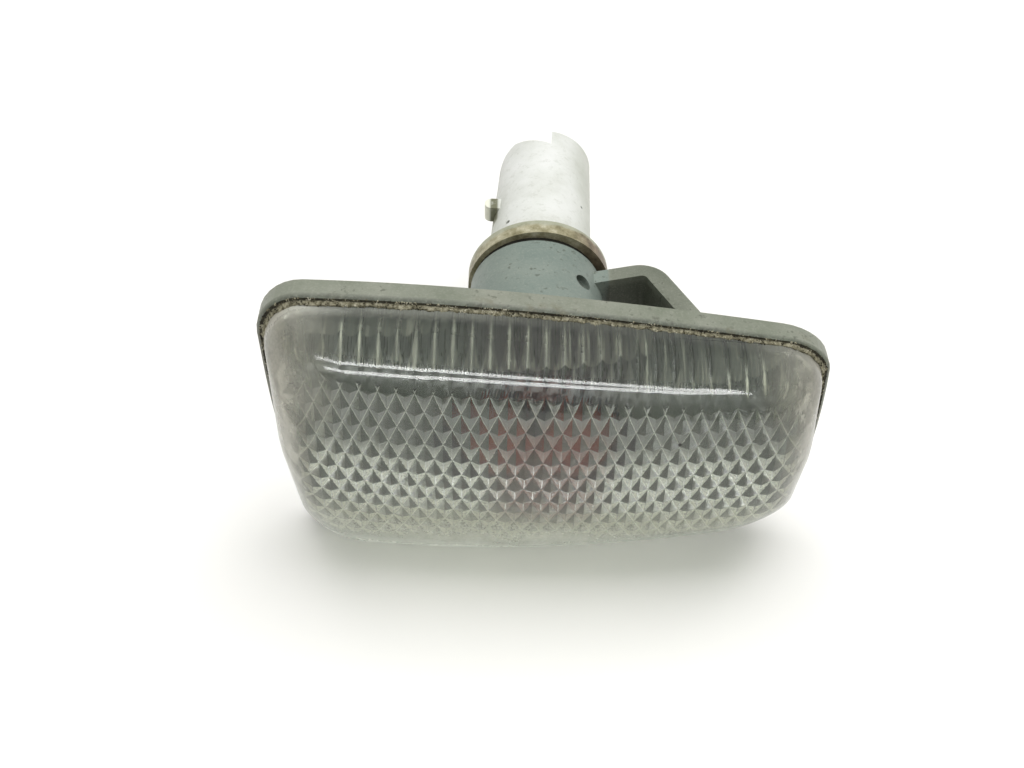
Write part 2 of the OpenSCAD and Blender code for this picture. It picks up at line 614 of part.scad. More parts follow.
module bulb_glass() {
    color([0.95, 0.50, 0.12, 0.6]) difference() {
        union() {
            translate([tube_x, bulb_tip, 0])
                rotate([-90, 0, 0])
                    rotate_extrude($fn = 64)
                        polygon(bulb_half(0));
            translate([tube_x - base_w / 2, neck_y - 0.6, -base_t / 2])
                cube([base_w, base_len + 0.6, base_t]);
        }
        translate([tube_x, bulb_tip, 0])
            rotate([-90, 0, 0])
                rotate_extrude($fn = 64)
                    polygon(bulb_half(glass_t));
        for (s = [-1, 1])
            disc(wire_d / 2 + 0.02, neck_y - 3, bulb_back + 1, tube_x + s * wire_pitch / 2);
    }
}

module lead(side) {
    // A wire from the filament through the base, folded back along its face.
    x = tube_x + side * wire_pitch / 2;
    end_y = bulb_back + wire_d / 2 - 0.2;
    disc(wire_d / 2, bulb_tip + filament_y - 0.6, bulb_back + 0.15, x);
    translate([x - wire_d / 2, bulb_back + 0.02, side < 0 ? -wire_d / 2 : -wire_z - wire_d / 2])
        cube([wire_d, base_gap - 0.1, wire_z + wire_d]);
    disc_at(wire_d / 2, neck_y + 2, bulb_back + 0.15, x, side < 0 ? wire_z : -wire_z);
}

module disc_at(r, y0, y1, x, z) {
    translate([x, y0, z])
        rotate([-90, 0, 0])
            cylinder(r = r, h = y1 - y0, $fn = 24);
}

module lead_left() {
    color([0.70, 0.70, 0.68]) lead(-1);
}

module lead_right() {
    color([0.70, 0.70, 0.68]) lead(1);
}

module filament() {
    color([0.45, 0.45, 0.45])
        translate([tube_x - wire_pitch / 2 + wire_d / 2 + 0.02, bulb_tip + filament_y, 0])
            rotate([0, 90, 0])
                cylinder(d = filament_d, h = wire_pitch - wire_d - 0.04, $fn = 24);
}

housing();
lens();
bulb_holder();
holder_seal();
terminal_left();
terminal_right();
bulb_glass();
lead_left();
lead_right();
filament();
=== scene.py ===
"""Side repeater lamp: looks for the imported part, in metres, in the part's own frame."""
import math

import bmesh
import bpy
import numpy as np
from mathutils import Matrix, Vector, noise


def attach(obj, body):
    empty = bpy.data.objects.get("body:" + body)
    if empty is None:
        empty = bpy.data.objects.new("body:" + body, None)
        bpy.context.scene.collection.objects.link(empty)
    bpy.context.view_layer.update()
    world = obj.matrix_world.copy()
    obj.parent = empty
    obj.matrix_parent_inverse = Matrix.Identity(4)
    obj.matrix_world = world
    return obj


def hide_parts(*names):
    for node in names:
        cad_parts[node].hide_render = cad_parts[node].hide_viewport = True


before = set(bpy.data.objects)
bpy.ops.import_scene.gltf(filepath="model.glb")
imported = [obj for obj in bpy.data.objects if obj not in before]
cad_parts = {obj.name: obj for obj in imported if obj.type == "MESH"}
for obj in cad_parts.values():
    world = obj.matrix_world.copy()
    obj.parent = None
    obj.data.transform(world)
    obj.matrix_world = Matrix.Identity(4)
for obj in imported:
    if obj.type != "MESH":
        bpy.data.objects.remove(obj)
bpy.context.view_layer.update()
MM = 0.001

# ---------------------------------------------------------------- sizes, mm, as in the part's source
HALF_L, HALF_H = 39.0, 21.5
FLANGE_T, FLOOR_T, RIM_W, FOOT_GAP = 3.6, 1.8, 1.1, 0.05
SIDE_BOW, END_BOW, TAPER = 1.7, 1.0, 0.19
END_SLANT, SLANT_Z = 0.066, 11.0
LENS_DEPTH, LENS_WALL, LENS_EDGE_R, LENS_R, LENS_GROW, LENS_DRAFT = 12.9, 2.3, 8.5, 6.0, 0.5, 1.0
END_CUT, END_SWELL = 1.5, 0.4
DOME_X, DOME_Z, DOME_FLAT = 0.0022, 0.0138, 0.00002
PRISM_W, PRISM_H, PRISM_SINK, PRISM_X, PRISM_Z = 2.4, 4.9, 1.0, -5.4, 4.3
STOP_END, STOP_SIDE, FIELD_R = 1.2, 3.4, 5.0    # where the prisms stop, and the field's corners
FLUTE_D, FLUTE_SHARP = 0.35, 2.2                # depth, and the power that thins the ridges between flutes
TUBE_X, BORE_R = -0.9, 8.9
DIMPLE = (0.0056, 0.0180, 0.0077)    # blind hole on the tube, metres
SPECK = (0.0172, -0.0150, 0.0085)    # dirt spot on the lens's front, metres
# fine steps: across half a prism, in degrees round the outer edge, in rings round the inner one, up the front
SUB, EDGE_STEP, EDGE_RINGS, FRONT_STEPS = 3, 5, 8, 20


# ---------------------------------------------------------------- small helpers
def linear(hex_code):
    """sRGB hex to linear RGBA."""
    values = [int(hex_code[i:i + 2], 16) / 255 for i in (1, 3, 5)]
    return tuple(v / 12.92 if v <= 0.04045 else ((v + 0.055) / 1.055) ** 2.4 for v in values) + (1.0,)


def add(tree, kind, settings=None, **links):
    """Adds one node. Settings are node attributes; links name inputs, with a socket or a plain value."""
    node = tree.nodes.new(kind)
    for key, value in (settings or {}).items():
        setattr(node, key, value)
    for key, value in links.items():
        by_number = key[0] == "i" and key[1:].isdigit()
        socket = node.inputs[int(key[1:])] if by_number else node.inputs[key.replace("_", " ")]
        if isinstance(value, bpy.types.NodeSocket):
            tree.links.new(value, socket)
        elif isinstance(value, bpy.types.Node):
            tree.links.new(value.outputs[0], socket)
        else:
            socket.default_value = value
    return node


def new_material(name):
    material = bpy.data.materials.new(name)
    material.use_nodes = True
    tree = material.node_tree
    tree.nodes.clear()
    out = tree.nodes.new("ShaderNodeOutputMaterial")
    return material, tree, out


def ramp(tree, source, stops):
    node = add(tree, "ShaderNodeValToRGB", None, Fac=source)
    elements = node.color_ramp.elements
    while len(elements) < len(stops):
        elements.new(0.5)
    for element, (place, colour) in zip(elements, stops):
        element.position = place
        element.color = linear(colour) if isinstance(colour, str) else (colour, colour, colour, 1)
    return node


def mesh_piece(name, verts, faces, smooth=None):
    """A mesh object at the origin from points in mm."""
    mesh = bpy.data.meshes.new(name)
    mesh.from_pydata([tuple(float(c) * MM for c in v) for v in verts], [], [tuple(int(i) for i in f) for f in faces])
    mesh.validate()
    if smooth is not None:
        mesh.polygons.foreach_set("use_smooth", smooth)
    obj = bpy.data.objects.new(name, mesh)
    bpy.context.scene.collection.objects.link(obj)
    return obj


def face_outwards(obj):
    """Turns the mesh's faces to look outwards."""
    bm = bmesh.new()
    bm.from_mesh(obj.data)
    bmesh.ops.recalc_face_normals(bm, faces=bm.faces)
    bm.to_mesh(obj.data)
    bm.free()


def store(obj, name, values):
    """Keeps one number for each point of the mesh."""
    layer = obj.data.attributes.new(name, "FLOAT", "POINT")
    layer.data.foreach_set("value", values)


def settle(obj):
    """Applies the modifiers to a plain mesh."""
    graph = bpy.context.evaluated_depsgraph_get()
    mesh = bpy.data.meshes.new_from_object(obj.evaluated_get(graph))
    obj.modifiers.clear()
    obj.data = mesh
    return obj


# ---------------------------------------------------------------- outline of flange and lens
# The lamp's outline is a rounded rectangle whose sides are bowed, that is taller at its left, and whose left end
# slants. These functions bend the plain shape, as the part's source does.
def bow_x(z):
    return 1 - END_BOW / HALF_L * (z / HALF_H) ** 2


def bow_z(x):
    return (1 - SIDE_BOW / HALF_H * (x / HALF_L) ** 2) * (1 - TAPER * x / HALF_L)


def slant(z):
    return END_SLANT * (z - SLANT_Z)


def bend(x, z, s=0.0):
    """A place on the bent shape. s draws the left end in further."""
    return (x * bow_x(z) - (slant(z) + s) * (1 - x / HALF_L) / 2, z * bow_z(x))


def flat_x(x, z, s):
    """The place before bending that ends up at x."""
    k = slant(z) + s
    return (x + k / 2) / (bow_x(z) + k / (2 * HALF_L))


def outline(spots, a, b, r, s=0.0):
    """Loop of points, counter-clockwise from the front. A spot is on a straight side or at an angle of a corner."""
    pts = []
    for side, value in spots:
        if side in "tb":
            z = b if side == "t" else -b
            pts.append(bend(flat_x(value, z, s), z, s))
        elif side in "lr":
            x = a if side == "r" else -a
            pts.append(bend(x, value / bow_z(x), s))
        else:
            c, d = math.cos(math.radians(value)), math.sin(math.radians(value))
            pts.append(bend(math.copysign(a - r, c) + r * c, math.copysign(b - r, d) + r * d, s))
    return pts


def dome(x, z):
    """How far the lens's front falls back from its foremost point."""
    return DOME_X * x * x + DOME_Z * z * z - DOME_FLAT * z ** 4


def spread(limit, d):
    """Places d apart on both sides of 0, within the limit."""
    n = int(math.floor(limit / d + 1e-9))
    return [i * d for i in range(-n, n + 1)]


# ---------------------------------------------------------------- lens
FOOT_IN = RIM_W + FOOT_GAP
LENS_A, LENS_B = HALF_L - FOOT_IN, HALF_H - FOOT_IN
FRONT, FOOT = -(FLANGE_T + LENS_DEPTH), -FLOOR_T
RUN = LENS_DEPTH + FLANGE_T - FLOOR_T - LENS_EDGE_R
EDGE_IN = RUN * math.tan(math.radians(LENS_DRAFT))
INNER_R, WALL_R = LENS_EDGE_R - LENS_WALL, LENS_R - LENS_WALL
IN_A, IN_B = LENS_A - LENS_WALL - EDGE_IN, LENS_B - LENS_WALL - EDGE_IN


def swell(angle):
    """How far the left end is drawn in at this angle of the soft edge."""
    return END_SWELL + END_CUT * (1 - math.cos(math.radians(angle)))


def edge_rise(x, z):
    """How far the inner skin has turned back from the dome near the walls."""
    v = z / bow_z(x)
    if x < 0:
        near = (INNER_R - END_CUT - x + bend(-IN_A, v, END_SWELL)[0]) * INNER_R / (INNER_R - END_CUT)
    else:
        near = INNER_R + x - bend(IN_A, v, END_SWELL)[0]
    q = min(INNER_R, math.hypot(max(near, 0), max(abs(v) - (IN_B - INNER_R), 0)))
    return INNER_R - math.sqrt(max(INNER_R ** 2 - q * q, 0))


def skin(x, z):
    return FRONT + LENS_WALL + dome(x, z) + edge_rise(x, z)


class Shell:
    """Gathers points and faces. Each face carries whether it is smooth."""

    def __init__(self):
        self.pts, self.faces, self.smooth = [], [], []

    def put(self, points):
        start = len(self.pts)
        self.pts += points
        return list(range(start, len(self.pts)))

    def face(self, ids, smooth):
        self.faces.append(ids)
        self.smooth.append(smooth)

    def ring(self, s, t, smooth=True):
        n = len(s)
        for i in range(n):
            j = (i + 1) % n
            self.face((t[i], t[j], s[j], s[i]), smooth)

    def zip(self, a, b, p, q, smooth=True, tie=None, turn=False):
        """Triangles between two rows of points with places p and q. Where two agree, tie says which row goes on."""
        i = k = 0
        while i < len(a) - 1 or k < len(b) - 1:
            if k == len(b) - 1:
                first = True
            elif i == len(a) - 1:
                first = False
            elif abs(p[i + 1] - q[k + 1]) < 1e-4:
                first = tie(a[i]) if tie else True
            else:
                first = p[i + 1] < q[k + 1]
            tri = (a[i], b[k], a[i + 1]) if first else (a[i], b[k], b[k + 1])
            self.face((tri[0], tri[2], tri[1]) if turn else tri, smooth)
            if first:
                i += 1
            else:
                k += 1

    def heights(self, ids):
        return [self.pts[i][2] for i in ids]


def corner_spots(quarter, n=16):
    """Spots round one corner, counted in quarter turns from the right."""
    a, b = 90 * quarter + 0.01, 90 * quarter + 89.99
    return [("c", a + (b - a) * k / n) for k in range(n + 1)]


def make_outer(shell):
    """Smooth outer skin. Returns its foot ring."""
    def radius(d):
        return min(LENS_R + d * LENS_GROW, LENS_B - d - 0.5)

    deep = EDGE_IN + LENS_EDGE_R
    cols = spread(LENS_A - deep - radius(deep) - 2.5, 1.0)
    rows = spread((LENS_B - deep - radius(deep)) * 0.9, 1.0)
    spots = [("t", x) for x in reversed(cols)] + corner_spots(1)
    spots += [("l", z) for z in reversed(rows)] + corner_spots(2)
    spots += [("b", x) for x in cols] + corner_spots(3)
    spots += [("r", z) for z in rows] + corner_spots(0)

    def at(d, s=0.0):
        return outline(spots, LENS_A - d, LENS_B - d, radius(d), s)

    rings = [shell.put([(x, FOOT, z) for x, z in at(0)])]
    rim = (FLANGE_T + 0.3 - FLOOR_T) / RUN
    rings.append(shell.put([(x, FOOT - RUN * rim, z) for x, z in at(EDGE_IN * rim)]))
    for angle in range(0, 91, EDGE_STEP):
        c, d = math.cos(math.radians(angle)), math.sin(math.radians(angle))
        pts = at(EDGE_IN + LENS_EDGE_R * (1 - c), swell(angle))
        rings.append(shell.put([(x, FRONT + dome(x, z) + LENS_EDGE_R * (1 - d), z) for x, z in pts]))
    for s, t in zip(rings, rings[1:]):
        shell.ring(s, t)
    # front: columns from the bottom to the top of the last ring, run through its corners as well
    last = rings[-1]
    pts = shell.pts
    left_end = min(range(len(last)), key=lambda i: pts[last[i]][0])
    right_end = max(range(len(last)), key=lambda i: pts[last[i]][0])

    def chain(i, j):
        out = [last[i]]
        while i != j:
            i = (i + 1) % len(last)
            out.append(last[i])
        return out

    top = list(reversed(chain(right_end, left_end)))
    low = chain(left_end, right_end)

    # match top and bottom points by their place along the length
    strips = [[top[0]]]
    for k in range(1, len(low) - 1):
        lo = low[k]
        share = k / (len(low) - 1)
        hi = top[round(share * (len(top) - 1))]
        mid = []
        for m in range(1, FRONT_STEPS):
            x = pts[lo][0] + (pts[hi][0] - pts[lo][0]) * m / FRONT_STEPS
            z = pts[lo][2] + (pts[hi][2] - pts[lo][2]) * m / FRONT_STEPS
            mid.append((x, FRONT + dome(x, z), z))
        strips.append([lo] + shell.put(mid) + [hi])
    strips.append([low[-1]])
    for s, t in zip(strips, strips[1:]):
        shell.zip(s, t, shell.heights(s), shell.heights(t), turn=True)
    return rings[0]


FLUTE_START = 3    # rings over which the flutes deepen
INWARDS = {"t": (0, -1), "b": (0, 1), "l": (1, 0), "r": (-1, 0)}


def make_inner(shell):
    """Inner skin, still smooth. Returns its foot ring and what the node tree needs at each point."""
    fa, fb, fr = IN_A - STOP_END, IN_B - STOP_SIDE, FIELD_R
    w, h = PRISM_W / 2 / SUB, PRISM_H / 2 / SUB
    tilt = math.acos(1 - STOP_SIDE / INNER_R)
    field_swell = END_SWELL + END_CUT * STOP_END / INNER_R
    lo_x = max(bend(-(fa - fr), z, field_swell)[0] for z in (fb, -fb)) + 0.1
    hi_x = min(bend(fa - fr, z, field_swell)[0] for z in (fb, -fb)) - 0.1
    straight = [PRISM_X + i * w for i in range(math.ceil((lo_x - PRISM_X) / w), math.floor((hi_x - PRISM_X) / w) + 1)]

    def corner_cols(sign, z):
        """Columns that run on into a corner, with the angle at which each meets it."""
        out = []
        i = 1
        while True:
            x = (straight[0] if sign < 0 else straight[-1]) + sign * i * w
            u = flat_x(x, z * 0.85, field_swell)
            c = (abs(u) - (fa - fr)) / fr
            if c > 0.985:
                return out
            if c > 0:
                out.append((x, math.degrees(math.acos(c))))
            else:
                out.append((x, 89.9 - 0.05 * i))
            i += 1

    tl, bl, tr, br = (corner_cols(s, z) for s, z in ((-1, fb), (-1, -fb), (1, fb), (1, -fb)))
    nl, nr = min(len(tl), len(bl)), min(len(tr), len(br))
    tl, bl, tr, br = tl[:nl], bl[:nl], tr[:nr], br[:nr]
    rows_l = spread((fb - fr) * bow_z(-fa) - 0.2, w)
    rows_r = spread((fb - fr) * bow_z(fa) - 0.2, w)
    spots = [("t", x) for x in reversed(straight)] + [("c", 180 - a) for _, a in tl]
    spots += [("c", 179.99)] + [("l", z) for z in reversed(rows_l)]
    spots += [("c", 180.01)] + [("c", 180 + a) for _, a in reversed(bl)] + [("b", x) for x in straight]
    spots += [("c", 360 - a) for _, a in br] + [("c", 359.99)]
    spots += [("r", z) for z in rows_r] + [("c", 0.01)] + [("c", a) for _, a in reversed(tr)]
    # the column of each spot; the ends have none
    col_at = straight[::-1] + [x for x, _ in tl] + [None] * (len(rows_l) + 2) + [x for x, _ in reversed(bl)]
    col_at += straight + [x for x, _ in br] + [None] * (len(rows_r) + 2) + [x for x, _ in reversed(tr)]
    n, ns = len(spots), len(straight)

    rings = []
    for k in range(EDGE_RINGS + 1):
        angle = tilt * (1 - k / EDGE_RINGS)
        db = INNER_R * (1 - math.cos(angle))
        da = STOP_END * db / STOP_SIDE
        share = db / STOP_SIDE
        radius = WALL_R + (fr - WALL_R) * share
        pts = outline(spots, IN_A - da, IN_B - db, radius, END_SWELL + END_CUT * da / INNER_R)
        # the last ring lies where the wall begins
        deep = [skin(x, z) if k < EDGE_RINGS else FRONT + LENS_WALL + dome(x, z) + INNER_R for x, z in pts]
        rings.append(shell.put([(x, y, z) for (x, z), y in zip(pts, deep)]))
    wall_top = [shell.pts[i] for i in rings[-1]]
    for share in (0.8, 0.5, 0.2, 0.0):
        out = EDGE_IN * (1 - share)
        pts = outline(spots, IN_A + out, IN_B + out, WALL_R, END_SWELL * share)
        rings.append(shell.put([(x, FOOT + (t[1] - FOOT) * share, z) for (x, z), t in zip(pts, wall_top)]))
    for s, t in zip(rings, rings[1:]):
        shell.ring(s, t, False)
    flute = {}
    for r, ring in enumerate(rings):
        for i, v in enumerate(ring):
            side, value = spots[i]
            turn = math.radians(value)
            way = INWARDS.get(side) or (-math.cos(turn), -math.sin(turn))
            spot = col_at[i] if col_at[i] is not None else shell.pts[v][2]
            on_edge = r <= EDGE_RINGS
            back = min(1.0, r / FLUTE_START) if on_edge else 1.0
            flute[v] = (way[0] * back, way[1] * back, 0.8 * back if on_edge else 0.0, spot)

    # prism field
    prism, bottom, top = {}, {}, {}
    for i, v in enumerate(rings[0]):
        side, value = spots[i]
        if col_at[i] is not None:
            (top if side == "t" or (side == "c" and value < 180) else bottom)[round(col_at[i], 4)] = v
    cols = sorted(top)
    i_l0 = ns + nl                       # the corner's last point at the top left
    i_l1 = ns + nl + len(rows_l) + 1     # the first one at the bottom left
    strips = [[rings[0][i] for i in range(i_l1, i_l0 - 1, -1)]]
    for x in cols:
        low, high = bottom[x], top[x]
        z0, z1 = shell.pts[low][2], shell.pts[high][2]
        j0, j1 = math.ceil((z0 + 0.3 * h - PRISM_Z) / h), math.floor((z1 - 0.3 * h - PRISM_Z) / h)
        zs = [PRISM_Z + j * h for j in range(j0, j1 + 1)]
        ids = shell.put([(x, skin(x, z), z) for z in zs])
        for v, z in zip(ids, zs):
            ends = min(x - cols[0], cols[-1] - x) + w
            prism[v] = min(1.0, (z - z0) / (2 * h), (z1 - z) / (2 * h), ends / (2 * w))
        strips.append([low] + ids + [high])
    i_r0 = n - nr - len(rows_r) - 2
    strips.append([rings[0][i] for i in range(i_r0, i_r0 + len(rows_r) + 2)])

    def tie(v):
        # the crease runs between the prism's corners, so the split of a cell depends on its place
        x, _, z = shell.pts[v]
        i = math.floor((x - PRISM_X) / (PRISM_W / 2) + 1e-3)
        j = math.floor((z - PRISM_Z) / (PRISM_H / 2) + 1e-3)
        return (i + j) % 2 != 0

    for s, t in zip(strips, strips[1:]):
        shell.zip(s, t, shell.heights(s), shell.heights(t), smooth=False, tie=tie)
    return rings[-1], prism, flute


# what each point of the lens carries: its share of the prisms' depth, whether it is on the inner skin, and how far,
# which way and in which column it belongs to the flutes
LENS_VALUES = ("prism", "inner", "flute", "flute_x", "flute_y", "flute_z", "flute_at")


def make_lens():
    """The clear moulding: a smooth outer skin, and an inner skin whose prisms and flutes the node tree then cuts."""
    shell = Shell()
    outer_foot = make_outer(shell)
    inner_from = len(shell.pts)
    inner_foot, prism, flute = make_inner(shell)

    def turns(ids):
        a = [math.degrees(math.atan2(shell.pts[i][2], shell.pts[i][0])) for i in ids]
        return [a[0] + (t - a[0] + 720) % 360 for t in a] + [a[0] + 360]

    k = min(range(len(outer_foot)), key=lambda i: math.dist(shell.pts[outer_foot[i]], shell.pts[inner_foot[0]]))
    outer_foot = outer_foot[k:] + outer_foot[:k]
    shell.zip(inner_foot + inner_foot[:1], outer_foot + outer_foot[:1], turns(inner_foot), turns(outer_foot),
              smooth=False)
    obj = mesh_piece("lens_moulding", shell.pts, shell.faces, shell.smooth)
    face_outwards(obj)
    count = len(shell.pts)
    columns = {name: np.zeros(count, dtype=np.float32) for name in LENS_VALUES}
    columns["inner"][inner_from:] = 1.0
    for v, value in prism.items():
        columns["prism"][v] = value
    for v, (to_x, to_z, to_y, place) in flute.items():
        for name, value in zip(LENS_VALUES[2:], (math.hypot(to_x, to_z), to_x, to_y, to_z, place)):
            columns[name][v] = value
    for name, values in columns.items():
        store(obj, name, values)
    return obj


def open_tree(name, inputs):
    """A node tree for geometry. Returns it, its input sockets by label and their identifiers."""
    tree = bpy.data.node_groups.new(name, "GeometryNodeTree")
    face = tree.interface
    face.new_socket("Geometry", in_out="OUTPUT", socket_type="NodeSocketGeometry")
    face.new_socket("Geometry", in_out="INPUT", socket_type="NodeSocketGeometry")
    ids = {}
    for label, kind in inputs:
        ids[label] = face.new_socket(label, in_out="INPUT", socket_type="NodeSocket" + kind).identifier
    return tree, {socket.name: socket for socket in add(tree, "NodeGroupInput").outputs}, ids


def run_tree(obj, tree, ids, values):
    """Evaluates the tree on the object and leaves a plain mesh."""
    modifier = obj.modifiers.new(tree.name, "NODES")
    modifier.node_group = tree
    for label, value in values.items():
        modifier[ids[label]] = value
    return settle(obj)


def raise_optics(obj, material, inner_material):
    """Node tree that cuts the diamond pits and the flutes into the lens's inner skin."""
    sizes = {"Prism Width": PRISM_W, "Prism Height": PRISM_H, "Prism Sink": PRISM_SINK,
             "Prism X": PRISM_X, "Prism Z": PRISM_Z, "Flute Depth": FLUTE_D}
    inputs = [(label, "Float") for label in sizes] + [("Material", "Material"), ("Inner Material", "Material")]
    tree, given, ids = open_tree("lens_optics", inputs)

    def maths(kind, *values):
        links = {"i%d" % k: v for k, v in enumerate(values)}
        return add(tree, "ShaderNodeMath", {"operation": kind}, **links).outputs[0]

    def stored(name):
        node = add(tree, "GeometryNodeInputNamedAttribute", {"data_type": "FLOAT"})
        node.inputs["Name"].default_value = name
        return node.outputs["Attribute"]

    def steps(value, start, pitch):
        return maths("DIVIDE", maths("SUBTRACT", value, given[start]), given[pitch])

    place = add(tree, "ShaderNodeSeparateXYZ", None, Vector=add(tree, "GeometryNodeInputPosition"))
    x = steps(maths("MULTIPLY", place.outputs[0], 1000.0), "Prism X", "Prism Width")
    z = steps(maths("MULTIPLY", place.outputs[2], 1000.0), "Prism Z", "Prism Height")
    # distance to the nearest ridge of each family: 0 on the ridge, 0.5 in the middle of a pit
    near = [maths("PINGPONG", maths(kind, x, z), 0.5) for kind in ("ADD", "SUBTRACT")]
    share = maths("MULTIPLY", given["Prism Sink"], stored("prism"))
    sink = maths("MULTIPLY", maths("MULTIPLY", maths("MINIMUM", *near), 2.0), share)
    # flutes: shallow hollows between thin ridges
    hollow = maths("PINGPONG", steps(stored("flute_at"), "Prism X", "Prism Width"), 0.5)
    rise = maths("POWER", maths("SUBTRACT", 1.0, maths("MULTIPLY", hollow, 2.0)), FLUTE_SHARP)
    depth = maths("MULTIPLY", rise, given["Flute Depth"])
    move = add(tree, "ShaderNodeCombineXYZ", None,
               X=maths("MULTIPLY", maths("MULTIPLY", depth, stored("flute_x")), MM),
               Y=maths("MULTIPLY", maths("SUBTRACT", maths("MULTIPLY", depth, stored("flute_y")), sink), MM),
               Z=maths("MULTIPLY", maths("MULTIPLY", depth, stored("flute_z")), MM))
    shaped = add(tree, "GeometryNodeSetPosition", None, Geometry=given["Geometry"], Offset=move)
    real = add(tree, "GeometryNodeRealizeInstances", None, Geometry=shaped)
    done = add(tree, "GeometryNodeSetMaterial", None, Geometry=real, Material=given["Material"])
    inner = {"data_type": "FLOAT", "operation": "GREATER_THAN"}
    done = add(tree, "GeometryNodeSetMaterial", None, Geometry=done, Material=given["Inner Material"],
               Selection=add(tree, "FunctionNodeCompare", inner, i0=stored("inner"), i1=0.9))
    add(tree, "NodeGroupOutput", None, Geometry=done)
    return run_tree(obj, tree, ids, {**sizes, "Material": material, "Inner Material": inner_material})


# ---------------------------------------------------------------- materials
# Masks are made of places in the part's frame, in metres; shades are sRGB.
class Maker:
    """A new material with the few node chains that all of them use."""

    def __init__(self, name):
        self.material, self.tree, self.out = new_material(name)
        self.at = self.add("ShaderNodeTexCoord").outputs["Object"]
        place = self.add("ShaderNodeSeparateXYZ", None, Vector=self.at)
        self.x, self.y, self.z = place.outputs

    def add(self, kind, settings=None, **links):
        return add(self.tree, kind, settings, **links)

    def maths(self, kind, *values, clamp=False):
        links = {"i%d" % k: v for k, v in enumerate(values)}
        return self.add("ShaderNodeMath", {"operation": kind, "use_clamp": clamp}, **links).outputs[0]

    def plus(self, *values):
        out = values[0]
        for value in values[1:]:
            out = self.maths("ADD", out, value)
        return out

    def times(self, *values):
        out = values[0]
        for value in values[1:]:
            out = self.maths("MULTIPLY", out, value)
        return out

    def minus(self, a, b):
        return self.maths("SUBTRACT", a, b)

    def larger(self, a, b):
        return self.maths("MAXIMUM", a, b)

    def smaller(self, a, b):
        return self.maths("MINIMUM", a, b)

    def steps(self, value, start, pitch):
        """How many pitches the value lies from the start."""
        return self.maths("DIVIDE", self.minus(value, start), pitch)

    def fade(self, value, start, end, low=0.0, high=1.0):
        """low before the start, high past the end, smooth between."""
        links = {"Value": value, "i1": start, "i2": end, "i3": low, "i4": high}
        return self.add("ShaderNodeMapRange", {"interpolation_type": "SMOOTHSTEP"}, **links).outputs[0]

    def noise(self, scale, detail=4.0, roughness=0.5, stretch=None):
        at = self.at
        if stretch is not None:
            at = self.add("ShaderNodeVectorMath", {"operation": "MULTIPLY"}, i0=at, i1=stretch).outputs[0]
        node = self.add("ShaderNodeTexNoise", None, Vector=at, Scale=scale, Detail=detail, Roughness=roughness)
        return node.outputs[0]

    def from_point(self, point):
        """Distance from a point of the part."""
        return self.add("ShaderNodeVectorMath", {"operation": "DISTANCE"}, i0=self.at, i1=point).outputs["Value"]

    def given(self, name):
        return self.add("ShaderNodeAttribute", {"attribute_name": name}).outputs["Fac"]

    def near(self, value, middle, half, soft):
        """1 within half of the middle, falling to 0 over soft."""
        return self.fade(self.maths("ABSOLUTE", self.minus(value, middle)), half + soft, half)

    def blend(self, share, a, b):
        node = self.add("ShaderNodeMix", {"data_type": "RGBA"})
        for socket, value in ((node.inputs[0], share), (node.inputs["A"], a), (node.inputs["B"], b)):
            if isinstance(value, str):
                socket.default_value = linear(value)
            elif isinstance(value, (int, float)):
                socket.default_value = value
            else:
                self.tree.links.new(value, socket)
        return node.outputs["Result"]

    def ramp(self, source, *stops):
        return ramp(self.tree, source, stops).outputs[0]

    def finish(self, colour, roughness, bump=None, **more):
        if isinstance(colour, str):
            colour = linear(colour)
        bsdf = self.add("ShaderNodeBsdfPrincipled", None, Base_Color=colour, Roughness=roughness, **more)
        if bump is not None:
            height, strength, distance = bump
            node = self.add("ShaderNodeBump", None, Strength=strength, Distance=distance, Height=height)
            self.tree.links.new(node.outputs[0], bsdf.inputs["Normal"])
        return bsdf

    def end(self, shader):
        self.tree.links.new(shader.outputs[0], self.out.inputs["Surface"])
        return self.material


LENS_IOR = 1.49
LENS_SHADE = "#D2D6CF"                  # what the lens takes from the light on its way through
LENS_MIDDLE = (-0.002, 0.008, 0.016)    # the middle along x, painted paler low on the lens (painted light): place, half width, softness


def clear_end(m, colour, rough, veil):
    """Clear plastic under a veil. It lets the lamps through to what lies behind it."""
    bsdf = m.finish(colour, rough, IOR=LENS_IOR, Transmission_Weight=m.minus(1.0, veil))
    see = m.add("ShaderNodeBsdfTransparent", None, Color=linear(LENS_SHADE))
    to_lamp = m.add("ShaderNodeLightPath").outputs["Is Shadow Ray"]
    return m.end(m.add("ShaderNodeMixShader", None, Fac=to_lamp, i1=bsdf, i2=see))


